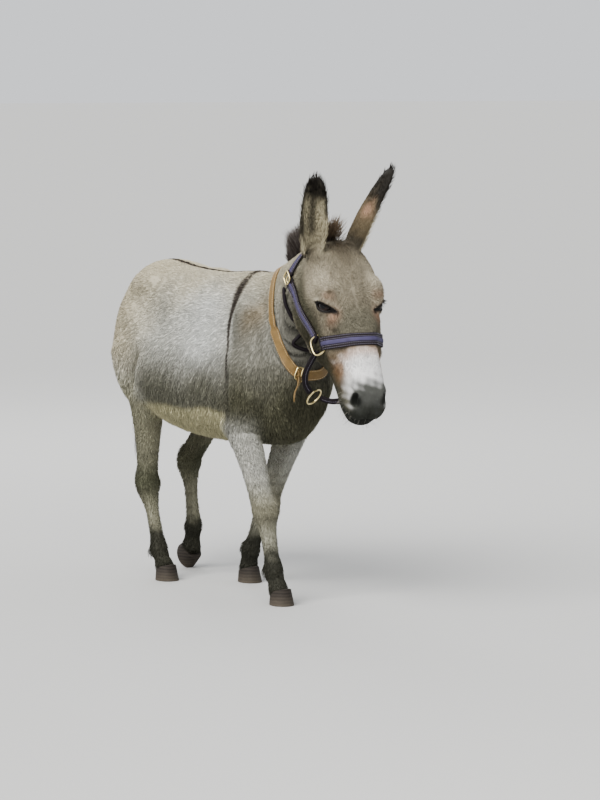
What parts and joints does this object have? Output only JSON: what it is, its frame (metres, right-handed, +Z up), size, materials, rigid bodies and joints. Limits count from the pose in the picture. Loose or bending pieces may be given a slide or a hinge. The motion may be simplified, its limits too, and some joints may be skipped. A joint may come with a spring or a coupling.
{
  "type": "donkey",
  "caption": "Life-size still model of a grey miniature donkey walking with its head low, wearing a padded halter and a tan leather collar.",
  "frame": {"origin": "middle of the bottom of the bounding box, on the floor that the hooves stand on", "axes": "+Z up, the donkey faces -Y, its left side is +X"},
  "size_m": [0.4094, 1.1286, 1.1284],
  "materials": {
    "coat": "short grey-beige hair lying along the body, paler under the belly, at the muzzle and inside the legs",
    "dark_hair": "long dark brown hair of the upright mane and the tail",
    "hoof": "dark horn, satin",
    "eye": "wet, glossy, dark brown",
    "halter_leather": "dark brown padded leather, satin, with a lavender padded centre stripe",
    "collar_leather": "tan leather, worn satin",
    "brass": "polished, slightly worn"
  },
  "bodies": {
    "root": {"collar_buckle": "brass", "collar_end": "collar_leather", "collar_strap": "collar_leather", "ear_left": "coat", "ear_right": "coat", "eye_left": "eye", "eye_right": "eye", "halter_buckle_left": "brass", "halter_buckle_right": "brass", "halter_cheek_left": "halter_leather", "halter_cheek_right": "halter_leather", "halter_chin_ring": "brass", "halter_chin_strap_left": "halter_leather", "halter_chin_strap_right": "halter_leather", "halter_crown": "halter_leather", "halter_noseband": "halter_leather", "halter_ring_left": "brass", "halter_ring_right": "brass", "halter_throat": "halter_leather", "head": "coat", "hoof_fore_left": "hoof", "hoof_fore_right": "hoof", "hoof_hind_left": "hoof", "hoof_hind_right": "hoof", "leg_fore_left": "coat", "leg_fore_right": "coat", "leg_hind_left": "coat", "leg_hind_right": "coat", "mane": "dark_hair", "neck": "coat", "tail": "dark_hair", "trunk": "coat"}
  },
  "joints": []
}
